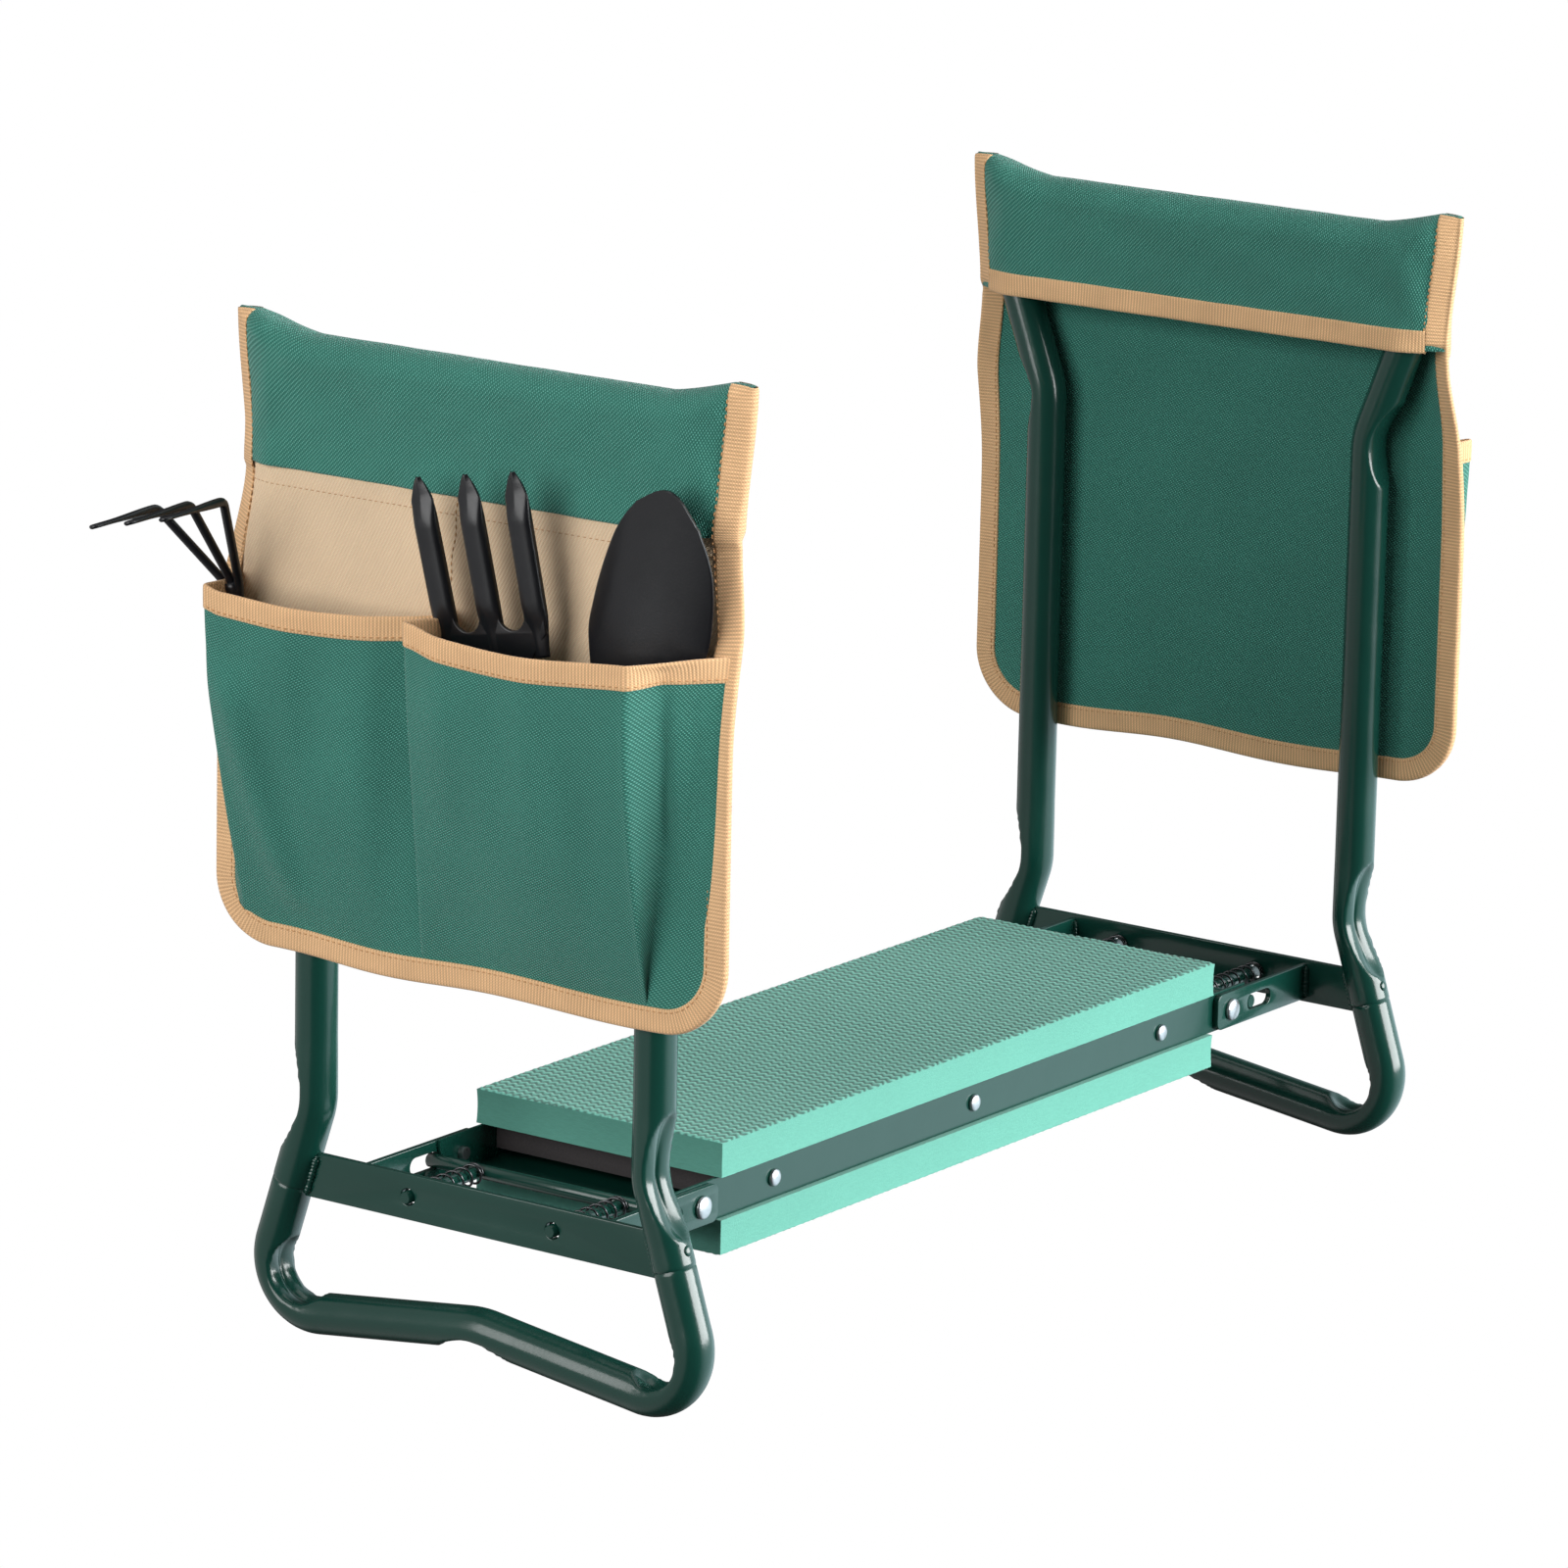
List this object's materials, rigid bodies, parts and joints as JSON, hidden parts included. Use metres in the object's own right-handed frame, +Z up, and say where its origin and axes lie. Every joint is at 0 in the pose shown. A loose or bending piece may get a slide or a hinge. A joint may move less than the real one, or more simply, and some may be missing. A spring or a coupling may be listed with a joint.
{
  "type": "garden kneeler seat",
  "caption": "Padded low bench on folding steel tube frames with raised grab handles, sprung frame locks and hanging fabric tool pouches with small hand tools.",
  "frame": {"origin": "on the ground, under the middle of the seat", "axes": "+X along the seat towards the right end frame, +Y across the seat towards its back, +Z up"},
  "size_m": [0.7407, 0.3034, 0.4834],
  "materials": {
    "green_painted_steel": "glossy dark green powder coat on steel tube and sheet",
    "green_foam": "matt mint green closed-cell foam with a fine pressed texture",
    "dark_board": "matt dark core board",
    "zinc_rivet": "bright zinc plated rivet",
    "green_fabric": "coarse green oxford weave",
    "beige_fabric": "beige twill weave",
    "beige_webbing": "ribbed beige binding tape, stitched",
    "black_tool_steel": "satin black coated steel",
    "green_grip": "moulded grip",
    "spring_steel": "blackened spring wire"
  },
  "bodies": {
    "seat": {"seat_tray": "green_painted_steel", "seat_board": "dark_board", "upper_pad": "green_foam", "lower_pad": "green_foam", "board_rivet_front_1": "zinc_rivet", "board_rivet_front_2": "zinc_rivet", "board_rivet_front_3": "zinc_rivet", "board_rivet_back_1": "zinc_rivet", "board_rivet_back_2": "zinc_rivet", "board_rivet_back_3": "zinc_rivet", "left_pivot_rivet_front": "zinc_rivet", "left_pivot_rivet_back": "zinc_rivet", "right_pivot_rivet_front": "zinc_rivet", "right_pivot_rivet_back": "zinc_rivet"},
    "left_frame": {"left_handle_tube": "green_painted_steel", "left_foot_tube": "green_painted_steel", "left_crossbar": "green_painted_steel", "left_ear_front": "green_painted_steel", "left_ear_back": "green_painted_steel", "left_front_tube_rivet": "green_painted_steel", "left_back_tube_rivet": "green_painted_steel", "left_lock_spring_front": "spring_steel", "left_lock_spring_back": "spring_steel"},
    "left_lock": {"left_lock_rod": "green_painted_steel", "left_guide_pin_front": "green_painted_steel", "left_guide_pin_back": "green_painted_steel"},
    "left_pouch": {"left_pouch_cap": "green_fabric", "left_pouch_panel": "beige_fabric", "left_pouch_pockets": "green_fabric"},
    "right_frame": {"right_handle_tube": "green_painted_steel", "right_foot_tube": "green_painted_steel", "right_crossbar": "green_painted_steel", "right_ear_front": "green_painted_steel", "right_ear_back": "green_painted_steel", "right_front_tube_rivet": "green_painted_steel", "right_back_tube_rivet": "green_painted_steel", "right_lock_spring_front": "spring_steel", "right_lock_spring_back": "spring_steel"},
    "right_lock": {"right_lock_rod": "green_painted_steel", "right_guide_pin_front": "green_painted_steel", "right_guide_pin_back": "green_painted_steel"},
    "right_pouch": {"right_pouch_cap": "green_fabric", "right_pouch_panel": "beige_fabric", "right_pouch_pockets": "green_fabric"},
    "cultivator": {"cultivator_head": "black_tool_steel", "cultivator_handle": "green_grip"},
    "fork": {"fork_head": "black_tool_steel", "fork_handle": "green_grip"},
    "trowel": {"trowel_head": "black_tool_steel", "trowel_handle": "green_grip"}
  },
  "joints": [
    {"name": "left_fold", "type": "hinge", "parent": "seat", "child": "left_frame", "pos_m": [-0.226, 0, 0.07699], "axis": [0, 1, 0], "range_deg": [0, 68]},
    {"name": "right_fold", "type": "hinge", "parent": "seat", "child": "right_frame", "pos_m": [0.226, 0, 0.07699], "axis": [0, -1, 0], "range_deg": [0, 90]},
    {"name": "left_lock_slide", "type": "slide", "parent": "left_frame", "child": "left_lock", "axis": [-1, 0, 0], "range_m": [0, 0.014], "deforming": ["left_lock_spring_front", "left_lock_spring_back"]},
    {"name": "right_lock_slide", "type": "slide", "parent": "right_frame", "child": "right_lock", "axis": [1, 0, 0], "range_m": [0, 0.014], "deforming": ["right_lock_spring_front", "right_lock_spring_back"]},
    {"name": "left_pouch_lift", "type": "slide", "parent": "left_frame", "child": "left_pouch", "axis": [0, 0, -1], "range_m": [-0.08, 0]},
    {"name": "right_pouch_lift", "type": "slide", "parent": "right_frame", "child": "right_pouch", "axis": [0, 0, -1], "range_m": [-0.08, 0]},
    {"name": "cultivator_slide", "type": "slide", "parent": "left_pouch", "child": "cultivator", "axis": [0.0488, -0.2146, -0.9755], "range_m": [-0.12, 0]},
    {"name": "fork_slide", "type": "slide", "parent": "left_pouch", "child": "fork", "axis": [0.0785, -0.1766, -0.9811], "range_m": [-0.12, 0]},
    {"name": "trowel_slide", "type": "slide", "parent": "left_pouch", "child": "trowel", "axis": [0.0289, 0.2659, -0.9636], "range_m": [-0.12, 0]}
  ],
  "couplings": [
    {"joint": "left_lock_slide", "follows": "left_fold", "m_per_rad": 0.0089},
    {"joint": "right_lock_slide", "follows": "right_fold", "m_per_rad": 0.0089}
  ]
}
